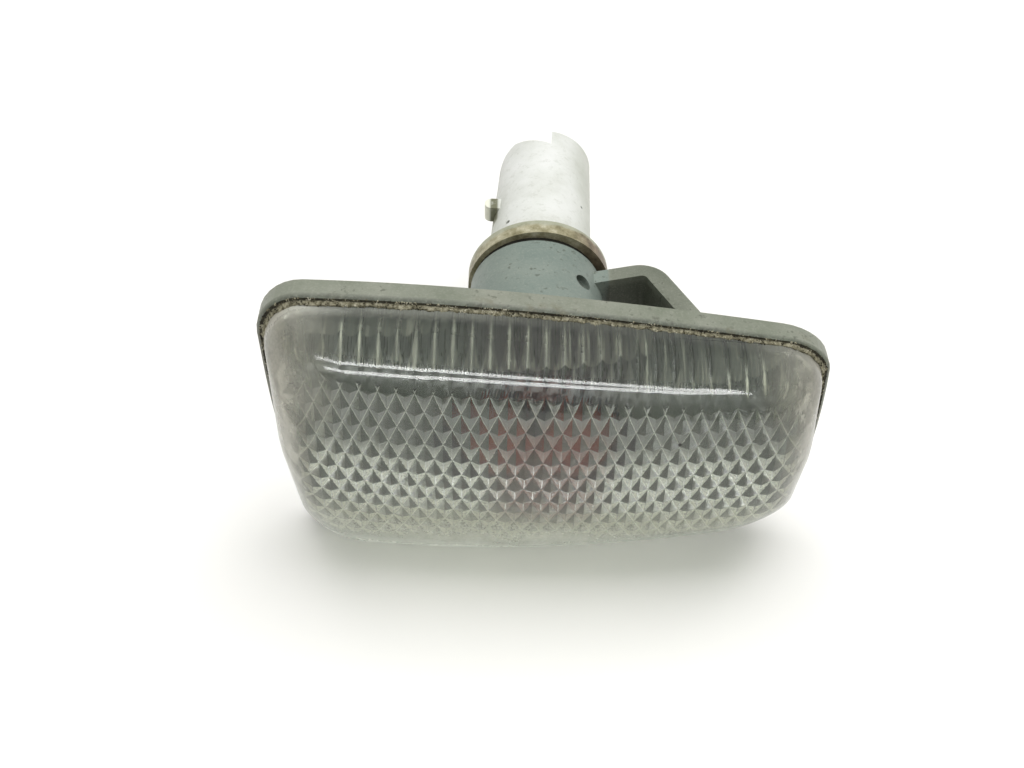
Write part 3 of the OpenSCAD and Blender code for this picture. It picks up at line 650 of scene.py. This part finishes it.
def make_lens_outside():
    # Injection-moulded clear acrylic, aged outdoors: refracts at 1.49 and is glossy, under a dusty beige veil that is
    # thin on the front and hides the ends and the foot. Lower down, most in the middle, the veil is thicker and
    # paler:
    # partly dust haze, partly painted light standing in for light thrown up from the floor.
    m = Maker("aged_clear_acrylic")
    cloud, dust = m.noise(150.0, 5.0, 0.6), m.noise(2200.0, 3.0)
    low = m.plus(m.times(m.fade(m.z, -0.002, -0.015), 0.7), m.times(m.fade(m.z, -0.013, -0.019), 0.8))
    ends = m.larger(m.fade(m.x, 0.0305, 0.0365), m.fade(m.x, -0.0300, -0.0365))
    ends = m.times(ends, m.fade(m.z, -0.014, 0.008, 0.3, 1.0))
    corners = m.larger(m.fade(m.x, 0.0250, 0.0360), m.fade(m.x, -0.0250, -0.0360))
    corners = m.times(m.fade(m.z, 0.006, 0.013), corners)
    ends = m.larger(ends, m.times(corners, 0.75))
    foot = m.times(m.fade(m.y, -0.0062, -0.0042), m.fade(m.x, 0.008, -0.036, 0.08, 0.3))
    middle = m.near(m.x, *LENS_MIDDLE)
    amount = m.plus(m.times(low, m.plus(m.times(middle, 0.08), 0.46)), m.times(ends, 0.46), 0.03, foot)
    mottle = m.plus(m.times(cloud, 1.2), m.times(dust, 0.5), 0.15)
    veil = m.smaller(m.maths("MULTIPLY", amount, mottle, clamp=True), 0.92)
    # low down the milk is paler: painted light over the dust haze
    milk_and_painted_light = m.blend(ends, m.blend(m.times(low, 0.65), "#CDD0C5", "#F4F7EE"), "#CBC8BA")
    spot = m.fade(m.from_point(SPECK), 0.00034, 0.00024)
    milk_and_painted_light = m.blend(spot, milk_and_painted_light, "#1E1F1A")
    veil = m.larger(veil, spot)
    colour = m.blend(m.fade(veil, 0.0, 0.15), "#EEF3EF", milk_and_painted_light)
    return clear_end(m, colour, m.plus(0.055, m.times(veil, 0.35)), veil)


def make_lens_inside():
    # The inner skin of the same acrylic. Its sharp ridges hold a pale film, and the thin ridges between the flutes of
    # the walls do too. The lower facets of each pit are painted pale, partly film and partly painted reflection of
    # the light they catch; the rest stays clear.
    m = Maker("aged_clear_acrylic_prisms")
    field, walls = m.fade(m.given("prism"), 0.3, 1.0), m.given("flute")
    # place in the diamond lattice: u and v count its two families of ridges
    px, pz = m.steps(m.x, PRISM_X * MM, PRISM_W * MM), m.steps(m.z, PRISM_Z * MM, PRISM_H * MM)
    u, v = m.plus(px, pz), m.minus(px, pz)
    ridge = m.smaller(m.maths("PINGPONG", u, 0.5), m.maths("PINGPONG", v, 0.5))
    fu, fv = m.maths("FRACT", u), m.maths("FRACT", v)
    lower, upper = m.smaller(fu, m.minus(1.0, fv)), m.smaller(fv, m.minus(1.0, fu))
    low_side = m.fade(m.minus(upper, lower), 0.0, 0.05)
    crease = m.fade(m.maths("ABSOLUTE", m.minus(fu, m.minus(1.0, fv))), 0.015, 0.09)
    # pale film on the ridges, and on the lower facets partly film, partly painted reflection; paler in the lower rows
    # and the middle: painted light
    grit = m.ramp(m.noise(2600.0, 3.0, 0.6), (0.36, 0.3), (0.6, 1.1))
    top, base = m.fade(m.z, 0.0100, 0.000), m.fade(m.z, -0.002, -0.0125)
    arms = m.times(low_side, m.plus(m.times(crease, 0.8), 0.2), m.plus(m.times(top, 0.72), 0.1))
    line = m.times(m.fade(ridge, 0.05, 0.018), m.plus(m.times(top, 0.22), 0.3, m.times(base, 0.6)))
    # the lower rows and the middle painted paler: painted light, with some haze
    haze_and_painted_light = m.times(base, m.plus(m.times(m.near(m.x, *LENS_MIDDLE), 0.14), 0.36))
    film_and_painted_light = m.times(m.plus(m.larger(arms, line), haze_and_painted_light), grit, field)
    # dark grey on the lower facets higher up (painted shade), the bulb's amber glow (painted light), and a violet
    # cast under the upper edge
    grey = m.times(m.fade(m.z, 0.0010, 0.0085), low_side)
    # painted light: the bulb's amber glow, painted as a tint into the prisms in front of it
    glow = m.times(m.near(m.x, 0.0002, 0.0030, 0.0075), m.near(m.z, 0.0015, 0.0040, 0.0085))
    violet = m.times(m.near(m.x, 0.0005, 0.0060, 0.0090), m.fade(m.z, 0.0110, 0.0150))
    # thin ridges between the flutes, palest round the ends, and finer hair lines that run down the walls
    streak = m.ramp(m.noise(330.0, 3.0, 0.6), (0.36, 0.2), (0.66, 1.0))
    rib = m.fade(m.maths("PINGPONG", m.steps(m.given("flute_at"), PRISM_X, PRISM_W), 0.5), 0.10, 0.03)
    end = m.larger(m.fade(m.x, 0.0200, 0.0300), m.fade(m.x, -0.0200, -0.0300))
    ribs = m.times(rib, walls, streak, m.plus(m.times(end, 0.6), 0.34))
    hair = m.fade(m.noise(3400.0, 3.0, 0.7, (1.0, 0.03, 0.03)), 0.5, 0.72)
    hair = m.times(hair, walls, m.fade(m.z, 0.004, 0.012), 0.3)
    # painted glints: short bright dashes on the flute ridges just above the lens's edge
    painted_glint = m.fade(m.noise(5200.0, 2.0, 0.5, (1.0, 0.12, 0.12)), 0.58, 0.66)
    painted_glint = m.times(painted_glint, walls, m.near(m.y, -0.0099, 0.0010, 0.0012), m.fade(rib, 0.0, 0.2, 0.35, 1.0), 0.6)
    ribs = m.plus(ribs, m.plus(hair, painted_glint), m.times(walls, 0.05))
    veil = m.maths("ADD", m.plus(film_and_painted_light, ribs), 0.03, clamp=True)
    veil = m.maths("ADD", veil, m.times(grey, field, 0.64), clamp=True)
    clear = m.blend(m.times(violet, 0.6), m.blend(m.times(glow, 0.9), "#E2E8E2", "#C07A5C"), "#A893A6")
    pale = m.blend(m.times(grey, 0.95), "#E0E0D0", "#4C5046")
    pale = m.blend(m.times(m.fade(ridge, 0.05, 0.02), 0.6), pale, "#CFD1C4")
    pale = m.blend(m.times(glow, 0.95), pale, "#7C4936")
    colour = m.blend(m.fade(veil, 0.0, 0.2), clear, pale)
    return clear_end(m, colour, m.plus(0.13, m.times(veil, 0.4), m.times(walls, 0.14)), veil)


def make_housing_plastic():
    # Moulded polypropylene, grey-green, weathered: satin and slightly mottled, bluer on the tube, with dusty patches,
    # a brown stain and fine dark specks. Painted shade darkens the forward-facing ledge round the lens (mottled), the
    # clip's pocket (with some dirt), the flange's left edge, the blind hole, and the bore and floor inside the lamp.
    m = Maker("weathered_grey_green_polypropylene")
    cloud, fine = m.noise(90.0, 6.0, 0.65), m.noise(700.0, 5.0, 0.7)
    body = m.ramp(cloud, (0.32, "#777D6D"), (0.5, "#888C7E"), (0.68, "#96988B"))
    tube = m.ramp(cloud, (0.32, "#728079"), (0.5, "#808C84"), (0.68, "#8A948B"))
    on_tube = m.times(m.fade(m.y, 0.0012, 0.0035), m.fade(m.x, 0.0104, 0.0098), m.fade(m.x, -0.0140, -0.0130))
    body = m.blend(on_tube, body, tube)
    # the ledge round the lens faces forward and is painted darker and mottled: painted shade
    ledge = m.times(m.fade(m.y, -0.0030, -0.0035), m.fade(fine, 0.25, 0.5, 0.75, 1.0))
    body = m.blend(ledge, body, m.ramp(fine, (0.35, "#3F4236"), (0.55, "#5F6557"), (0.7, "#6E7364")))
    # the flange's back under the spring clip: painted shade in the recess, with some dirt
    pocket_shade_and_dirt = m.times(m.fade(m.x, 0.0088, 0.0105), m.fade(m.x, 0.0275, 0.0215))
    pocket_shade_and_dirt = m.times(pocket_shade_and_dirt, m.fade(m.y, -0.0005, 0.0008), m.fade(m.z, 0.0058, 0.0042), 0.9)
    body = m.blend(pocket_shade_and_dirt, body, m.ramp(fine, (0.35, "#23241B"), (0.65, "#383A2E")))
    # the clip's band is duller than the flange
    clip = m.times(m.fade(m.x, 0.0098, 0.0108), m.fade(m.y, 0.0035, 0.0060), m.fade(m.x, 0.0235, 0.0205), 0.6)
    body = m.blend(clip, body, m.ramp(cloud, (0.35, "#676B5F"), (0.65, "#767A6D")))
    # the flange's left edge, turned from the light, painted darker: painted shade
    left = m.times(m.fade(m.x, -0.0372, -0.0388), m.fade(m.z, 0.0195, 0.0150), m.fade(m.y, 0.0005, -0.0005), 0.85)
    body = m.blend(left, body, m.ramp(fine, (0.3, "#434134"), (0.7, "#5E5B4D")))
    # inside the lamp, in the bore and on the floor behind the lens, the plastic is painted dark: painted shade
    off = m.minus(m.x, TUBE_X * MM)
    radius = m.maths("POWER", m.plus(m.times(off, off), m.times(m.z, m.z)), 0.5)
    bore = m.times(m.fade(radius, (BORE_R + 0.4) * MM, (BORE_R + 0.2) * MM), m.fade(m.y, 0.0225, 0.0215))
    floor = m.times(m.fade(m.y, -0.0027, -0.0022), m.fade(m.y, -0.0005, -0.0012))
    along = m.maths("DIVIDE", m.x, HALF_L * MM)
    narrow = m.times(m.minus(1.0, m.times(along, TAPER)), m.minus(1.0, m.times(along, along, SIDE_BOW / HALF_H)))
    within = m.times(m.near(m.maths("DIVIDE", m.z, narrow), 0.0, 0.0204, 0.0004), m.near(m.x, 0.0, 0.0328, 0.0004))
    inside = m.times(m.larger(bore, m.times(floor, within)), 0.85)
    body = m.blend(inside, body, m.ramp(cloud, (0.35, "#20231C"), (0.65, "#34382F")))
    # the blind hole painted dark (painted shade), specks in patches, brown stain and pale dust
    body = m.blend(m.times(m.fade(m.from_point(DIMPLE), 0.0015, 0.0013), 0.75), body, "#2F332B")
    speck = m.times(m.ramp(m.noise(1300.0, 2.0), (0.60, 0.0), (0.68, 1.0)), m.fade(m.noise(180.0, 3.0), 0.42, 0.6))
    body = m.blend(m.times(speck, 0.55), body, "#43463A")
    stain = m.times(m.fade(m.y, -0.0012, -0.0034), m.fade(m.x, -0.030, 0.006, 0.25, 1.0), 0.55)
    body = m.blend(m.times(m.fade(m.noise(240.0, 5.0, 0.7), 0.54, 0.66), stain), body, "#6B6650")
    dust = m.ramp(m.noise(3000.0, 3.0, 0.7), (0.5, 0.0), (0.7, 1.0))
    body = m.blend(m.times(dust, 0.25), body, "#B2B3A6")
    return m.end(m.finish(body, 0.48, (m.noise(2500.0, 3.0), 0.25, 0.0001), IOR=1.49))


def make_holder_plastic():
    # Moulded off-white polyester, satin, with a few dark specks, and a crust of brown and olive grime on the collar
    # that thins out over the foot of the connector. Its sides are painted darker and greener (painted shade), the
    # locking lug is painted lighter (painted light), and the gap beside the lug is dark with dirt and painted shade.
    m = Maker("grimy_off_white_polyester")
    cloud, fine = m.noise(130.0, 5.0, 0.6), m.noise(520.0, 6.0, 0.7)
    body = m.ramp(cloud, (0.3, "#D8DAD2"), (0.5, "#E4E6E0"), (0.7, "#ECEDE9"))
    # its sides, painted darker and greener: painted shade
    side = m.larger(m.fade(m.x, 0.0045, 0.0078), m.fade(m.x, -0.0050, -0.0088))
    body = m.blend(m.times(side, 0.55), body, m.ramp(cloud, (0.3, "#AEB2A2"), (0.7, "#C3C7B9")))
    speck = m.add("ShaderNodeTexVoronoi", None, Vector=m.at, Scale=230.0).outputs["Distance"]
    body = m.blend(m.times(m.fade(speck, 0.11, 0.06), m.fade(cloud, 0.46, 0.52)), body, "#4E5248")
    smear = m.fade(m.noise(900.0, 5.0, 0.7), 0.52, 0.70)
    body = m.blend(m.times(smear, 0.35), body, "#B5B8AA")
    near_collar = m.times(m.fade(m.y, 0.0375, 0.0290), m.fade(fine, 0.42, 0.62))
    body = m.blend(m.times(near_collar, 0.5), body, "#A9A894")
    # the locking lug is painted lighter (painted light); where it meets the shroud the gap is dark with dirt and
    # painted shade
    lug_painted_light = m.times(m.fade(m.x, -0.0082, -0.0088), m.near(m.y, 0.0415, 0.0026, 0.0010))
    body = m.blend(m.times(lug_painted_light, 0.9), body, m.ramp(cloud, (0.3, "#EDEDD9"), (0.7, "#F6F6E8")))
    # the gap beside the lug: dirt and painted shade
    gap_dirt_and_shade = m.times(m.near(m.x, -0.0078, 0.0004, 0.0004), m.near(m.y, 0.0415, 0.0022, 0.0014))
    body = m.blend(m.times(gap_dirt_and_shade, m.fade(fine, 0.25, 0.45), 0.85), body, "#5A5A38")
    # collar: pale worn rim behind, dirt crust in front, darkest on the right
    grime = m.ramp(fine, (0.30, "#6B664B"), (0.45, "#958F71"), (0.58, "#B5B094"), (0.72, "#D0CDB8"))
    right = m.ramp(fine, (0.30, "#463C2E"), (0.55, "#7C6C56"), (0.75, "#A5977D"))
    grime = m.blend(m.fade(m.x, 0.0035, 0.0085), grime, right)
    worn = m.ramp(fine, (0.3, "#9DA088"), (0.6, "#B1B29E"), (0.8, "#C0C1B0"))
    ragged = m.plus(m.y, m.times(m.minus(cloud, 0.5), 0.004))
    collar = m.blend(m.fade(ragged, 0.0279, 0.0288), grime, worn)
    body = m.blend(m.fade(m.y, 0.02915, 0.02885), body, collar)
    return m.end(m.finish(body, 0.46, (fine, 0.35, 0.0002), IOR=1.5))


def make_grime():
    # Dried road dirt at the lens's foot: pale chalky crust against the acrylic, black-brown in the joint outside it.
    m = Maker("dried_road_dirt")
    fine = m.noise(1800.0, 4.0, 0.7)
    pale = m.ramp(fine, (0.32, "#4C4938"), (0.48, "#7D7963"), (0.66, "#AFAB95"))
    dark = m.ramp(fine, (0.35, "#1F1E15"), (0.65, "#3B392B"))
    colour = m.blend(m.fade(m.given("outward"), 0.34, 0.48), pale, dark)
    return m.end(m.finish(colour, 0.9, (fine, 0.5, 0.0002), IOR=1.4))


def make_crumbs():
    # Loose crumbs of the same dirt, from chalky to nearly black.
    m = Maker("dirt_crumbs")
    colour = m.ramp(m.noise(900.0, 2.0), (0.44, "#2B281D"), (0.50, "#5E5944"), (0.58, "#A29D85"), (0.7, "#BEBAA6"))
    return m.end(m.finish(colour, 0.9, IOR=1.4))


def make_plain(name, low, high, scale, roughness, **more):
    """A finish whose colour wanders a little between two shades."""
    m = Maker(name)
    return m.end(m.finish(m.ramp(m.noise(scale), (0.35, low), (0.65, high)), roughness, **more))


ACRYLIC, ACRYLIC_INNER = make_lens_outside(), make_lens_inside()
HOUSING = make_housing_plastic()
HOLDER = make_holder_plastic()
GRIME, CRUMBS = make_grime(), make_crumbs()
# Moulded nitrile rubber, black, dull.
RUBBER = make_plain("black_nitrile_rubber", "#14140F", "#22211B", 500.0, 0.7)
# Tinned brass strip: pale, slightly dull.
TINNED = make_plain("tinned_brass_strip", "#B9B6AB", "#CFCCC2", 700.0, 0.35, Metallic=1.0)
# Soda-lime glass with an amber coat.
AMBER = make_plain("amber_coated_glass", "#8E3814", "#A84C20", 60.0, 0.12, IOR=1.52, Transmission_Weight=0.4)
# Drawn nickel-plated wire.
NICKEL = make_plain("nickel_wire", "#A8A49A", "#BDB9AF", 900.0, 0.3, Metallic=1.0)
# Drawn tungsten, dark grey.
TUNGSTEN = make_plain("tungsten_wire", "#4A4A4C", "#5C5C5E", 900.0, 0.4, Metallic=1.0)


def dress(node, material):
    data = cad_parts[node].data
    data.materials.clear()
    data.materials.append(material)


# ---------------------------------------------------------------- pieces
lens = raise_optics(make_lens(), ACRYLIC, ACRYLIC_INNER)
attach(lens, "lamp")
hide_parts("lens")


# side, start, end and step of each stretch of the crust: mm on a straight side, degrees round a corner
CRUST_RUN = (("t", 29, -29, 0.3), ("c", 90.01, 179.99, 1.2), ("l", 16, -16, 0.4), ("c", 180.01, 269.99, 1.5),
             ("b", -29, 29, 0.5), ("c", 270.01, 359.99, 1.5), ("r", -12, 12, 0.4), ("c", 0.01, 89.99, 1.2))
# how far out from the lens's wall, and how high on the ledge, mm
CRUST_PROFILE = ((-0.06, 0.52), (0.10, 0.48), (0.24, 0.32), (0.36, 0.10),
                 (0.46, 0.04), (0.72, 0.012), (0.72, -0.03), (-0.06, -0.03))
CRUST_IN = 0.035    # how far the crust starts inside the lens's outline


def make_crust():
    """Lumpy bead of dirt in the corner between the lens and the flange's ledge, thickest along the upper side."""
    spots = []
    for side, start, end, step in CRUST_RUN:
        n = int(abs(end - start) / step)
        spots += [(side, start + (end - start) * k / n) for k in range(n + 1)]
    rings, verts = [], []
    for out, high in CRUST_PROFILE:
        loop = outline(spots, LENS_A - CRUST_IN + out, LENS_B - CRUST_IN + out, LENS_R)
        ring = []
        for x, z in loop:
            lump = noise.noise(Vector((x * 0.9, z * 0.9, 3.0))) + 0.6 * noise.noise(Vector((x * 2.7, z * 2.7, 8.0)))
            upper = min(1.0, max(0.0, (z + 4) / 16))
            size = (0.38 + 0.5 * upper) * (1 + 0.75 * lump)
            verts.append((x, -FLANGE_T - (high * max(0.12, size) if high > 0 else high), z))
            ring.append(len(verts) - 1)
        rings.append(ring)
    faces = []
    for a, b in zip(rings, rings[1:] + rings[:1]):
        for i in range(len(a)):
            j = (i + 1) % len(a)
            faces.append((a[i], a[j], b[j], b[i]))
    obj = mesh_piece("lens_foot_dirt", verts, faces, [True] * len(faces))
    face_outwards(obj)
    store(obj, "outward", [max(0.0, out) for out, _ in CRUST_PROFILE for _ in spots])
    obj.data.materials.append(GRIME)
    return obj


FULL_TURN = 6.283


def scatter_crumbs(source, name, material, density, size, seed):
    """Node tree that strews crumbs over a copy of a piece and keeps only the crumbs."""
    obj = bpy.data.objects.new(name, source.data.copy())
    bpy.context.scene.collection.objects.link(obj)
    inputs = (("Density", "Float"), ("Size", "Float"), ("Seed", "Int"), ("Material", "Material"))
    tree, given, ids = open_tree(name, inputs)
    # fewer along the lower side
    height = add(tree, "ShaderNodeSeparateXYZ", None, Vector=add(tree, "GeometryNodeInputPosition")).outputs[2]
    share = add(tree, "ShaderNodeMapRange", None, Value=height, i1=-0.01, i2=0.014, i3=0.12, i4=1.0).outputs[0]
    share = add(tree, "ShaderNodeMath", {"operation": "MULTIPLY"}, i0=share, i1=given["Density"])
    points = add(tree, "GeometryNodeDistributePointsOnFaces", None,
                 Mesh=given["Geometry"], Density=share, Seed=given["Seed"])
    ball = add(tree, "GeometryNodeMeshIcoSphere", None, Radius=given["Size"], Subdivisions=1)
    vector = {"data_type": "FLOAT_VECTOR"}
    scale = add(tree, "FunctionNodeRandomValue", vector, Min=(0.4, 0.4, 0.4), Max=(1.5, 1.1, 1.5), Seed=3)
    turn = add(tree, "FunctionNodeRandomValue", vector, Min=(0, 0, 0), Max=(FULL_TURN,) * 3, Seed=5)
    many = add(tree, "GeometryNodeInstanceOnPoints", None,
               Points=points, Instance=ball, Rotation=turn.outputs[0], Scale=scale.outputs[0])
    real = add(tree, "GeometryNodeRealizeInstances", None, Geometry=many)
    done = add(tree, "GeometryNodeSetMaterial", None, Geometry=real, Material=given["Material"])
    add(tree, "NodeGroupOutput", None, Geometry=done)
    return run_tree(obj, tree, ids, {"Density": density, "Size": size * MM, "Seed": seed, "Material": material})


crust = make_crust()
crumbs = scatter_crumbs(crust, "lens_foot_crumbs", CRUMBS, 9e6, 0.11, 7)
for piece in (crust, crumbs):
    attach(piece, "lamp")


dress("housing", HOUSING)
dress("bulb_holder", HOLDER)
dress("holder_seal", RUBBER)
dress("terminal_left", TINNED)
dress("terminal_right", TINNED)
dress("bulb_glass", AMBER)
dress("lead_left", NICKEL)
dress("lead_right", NICKEL)
dress("filament", TUNGSTEN)

# ---------------------------------------------------------------- floor, world, lamps, camera
FLOOR_Z, FLOOR_HALF = -23.7, 3000                  # mm
FLOOR_SHADE, FLOOR_GLOW, WORLD_GLOW = "#F3F2EE", 0.08, 0.24
LAMP_AIM = (0.0, -0.012, 0.008)
# ends, width, power; metres and watts
TUBE_UPPER = ((-0.86, -1.10, 0.29), (0.53, -0.556, 0.75), 0.055, 3.4)
TUBE_LOWER = ((-0.75, -1.19, 0.14), (0.54, -0.585, 0.71), 0.055, 3.4)
SOFT_TOP = ((-0.40, 0.15, 1.0), (0.60, 0.15, 1.0), 0.8, 12.0)
SOFT_FRONT = ((-0.5, -1.1, 0.38), (0.6, -1.1, 0.38), 0.6, 2.7)
# the camera fitted to the photograph: its place in mm, its axes, its focal length in pixels of a picture 1024 wide
CAMERA_AT = (-6.8154, -120.0446, 125.0119)
RIGHT = Vector((0.99981, 0.00208, 0.01926))
UP = Vector((-0.01505, 0.70914, 0.70491))
AHEAD = Vector((0.01219, 0.70507, -0.70904))
SENSOR, FOCAL, PICTURE_W = 36, 1200, 1024


def make_floor():
    """White paper. Its own faint glow is seen directly, in reflections and through the lens, and lights nothing."""
    corners = [(-1, -1), (1, -1), (1, 1), (-1, 1)]
    obj = mesh_piece("floor", [(FLOOR_HALF * x, FLOOR_HALF * y, FLOOR_Z) for x, y in corners], [(0, 1, 2, 3)])
    material, tree, out = new_material("white_paper_floor")
    rays = add(tree, "ShaderNodeLightPath").outputs
    diffuse = add(tree, "ShaderNodeBsdfDiffuse", None, Color=linear(FLOOR_SHADE))
    glow = add(tree, "ShaderNodeEmission", None, Color=(1, 1, 1, 1), Strength=FLOOR_GLOW)
    both = add(tree, "ShaderNodeAddShader", None, i0=diffuse, i1=glow)
    larger = {"operation": "MAXIMUM"}
    seen = add(tree, "ShaderNodeMath", larger, i0=rays["Is Glossy Ray"], i1=rays["Is Transmission Ray"])
    seen = add(tree, "ShaderNodeMath", larger, i0=rays["Is Camera Ray"], i1=seen)
    mix = add(tree, "ShaderNodeMixShader", None, Fac=seen, i1=diffuse, i2=both)
    tree.links.new(mix.outputs[0], out.inputs["Surface"])
    obj.data.materials.append(material)


def make_world():
    world = bpy.data.worlds.new("studio")
    bpy.context.scene.world = world
    world.use_nodes = True
    background = world.node_tree.nodes["Background"]
    background.inputs[0].default_value = (1, 1, 1, 1)
    background.inputs[1].default_value = WORLD_GLOW


def lamp_between(name, a, b, width, power):
    """A rectangular lamp from a to b that faces the part."""
    a, b, aim = Vector(a), Vector(b), Vector(LAMP_AIM)
    lamp = bpy.data.lights.new(name, "AREA")
    lamp.shape = "RECTANGLE"
    lamp.size, lamp.size_y = (b - a).length, width
    lamp.energy = power
    obj = bpy.data.objects.new(name, lamp)
    along = (b - a).normalized()
    back = (a + b) / 2 - aim
    back = (back - along * back.dot(along)).normalized()
    turn = Matrix((along, back.cross(along), back)).transposed().to_4x4()
    turn.translation = (a + b) / 2
    obj.matrix_world = turn
    bpy.context.scene.collection.objects.link(obj)
    return obj


def make_lamps():
    # The two tubes draw the thin lines on the lens's edge and light nothing else.
    for name, sizes in (("tube_light_upper", TUBE_UPPER), ("tube_light_lower", TUBE_LOWER)):
        tube = lamp_between(name, *sizes)
        tube.visible_diffuse = tube.visible_transmission = False
    top = lamp_between("soft_top", *SOFT_TOP)
    top.visible_glossy = top.visible_transmission = False
    lamp_between("soft_front", *SOFT_FRONT).visible_glossy = False


def make_camera():
    data = bpy.data.cameras.new("camera")
    data.sensor_width = SENSOR
    data.lens = SENSOR * FOCAL / PICTURE_W
    data.clip_start = 0.01
    camera = bpy.data.objects.new("camera", data)
    bpy.context.scene.collection.objects.link(camera)
    place = Matrix((RIGHT, UP, -AHEAD)).transposed().to_4x4()
    place.translation = Vector(CAMERA_AT) * MM
    camera.matrix_world = place
    bpy.context.scene.camera = camera
    bpy.context.scene.view_settings.view_transform = "Standard"


make_floor()
make_world()
make_lamps()
make_camera()
